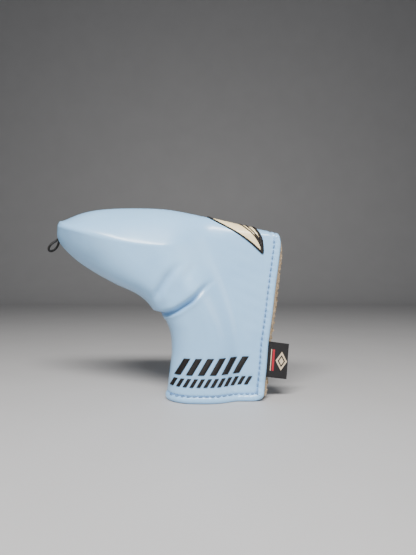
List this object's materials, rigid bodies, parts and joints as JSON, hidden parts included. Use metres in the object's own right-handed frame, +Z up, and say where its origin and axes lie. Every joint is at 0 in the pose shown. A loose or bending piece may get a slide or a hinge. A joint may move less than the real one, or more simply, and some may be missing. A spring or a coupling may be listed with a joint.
{
  "type": "putter head cover",
  "caption": "Padded blade putter head cover in light blue synthetic leather, fleece lined, with two magnetic closing flaps along the heel edge, a hang loop and a sewn-in label.",
  "frame": {"origin": "centre of the box's foot: midway between toe and label, midway between front and rear, at the rim that it stands on", "axes": "X from the toe (-) to the heel (+), Y from the front panel (-) to the rear panel (+), Z up from the rim"},
  "size_m": [0.1614, 0.047, 0.1268],
  "materials": {
    "leather": "smooth synthetic leather with a soft satin sheen",
    "foam": "open foam padding, matte",
    "fleece": "plush beige fleece, matte",
    "blue_thread": "blue sewing thread with a slight sheen",
    "loop_cord": "thin black braided cord",
    "cream_patch": "cream satin-stitched cloth",
    "black_thread": "black satin embroidery thread",
    "magnet": "nickel-plated disc magnets",
    "tape": "white non-woven tape",
    "label_cloth": "woven black label with a cream and red border",
    "label_thread": "black thread"
  },
  "bodies": {
    "cover_body": {"outer_leather": "leather", "front_foam": "foam", "rear_foam": "foam", "front_lining": "fleece", "rear_lining": "fleece", "body_hem": "leather", "body_hem_stitches": "blue_thread", "toe_seam_thread": "blue_thread", "hang_loop": "loop_cord", "applique_patch": "cream_patch", "applique_border": "black_thread", "applique_stripes": "black_thread", "neck_motif": "black_thread"},
    "front_flap": {"front_flap_leather": "leather", "front_flap_foam": "foam", "front_flap_lining": "fleece", "front_flap_hem": "leather", "front_flap_stitches": "blue_thread", "front_magnets": "magnet", "front_magnet_tape": "tape", "front_flap_motif": "black_thread"},
    "rear_flap": {"rear_flap_leather": "leather", "rear_flap_foam": "foam", "rear_flap_lining": "fleece", "rear_flap_hem": "leather", "rear_flap_stitches": "blue_thread", "rear_magnets": "magnet", "rear_magnet_tape": "tape"},
    "label": {"woven_label": "label_cloth", "label_stitches": "label_thread"}
  },
  "joints": [
    {"name": "front_flap_hinge", "type": "hinge", "parent": "cover_body", "child": "front_flap", "pos_m": [0.00471, -0.018, 0], "axis": [-0.5111, -0.0479, -0.8582], "range_deg": [0, 45], "stiffness_Nm_per_rad": 0.06},
    {"name": "rear_flap_hinge", "type": "hinge", "parent": "cover_body", "child": "rear_flap", "pos_m": [0.00471, 0.018, 0], "axis": [0.5111, -0.0479, 0.8582], "range_deg": [0, 45], "stiffness_Nm_per_rad": 0.06},
    {"name": "label_bend", "type": "hinge", "parent": "front_flap", "child": "label", "pos_m": [0.06371, -0.00473, 0.0265], "axis": [0.0729, 0, 0.9973], "range_deg": [-60, 12], "stiffness_Nm_per_rad": 0.002}
  ]
}
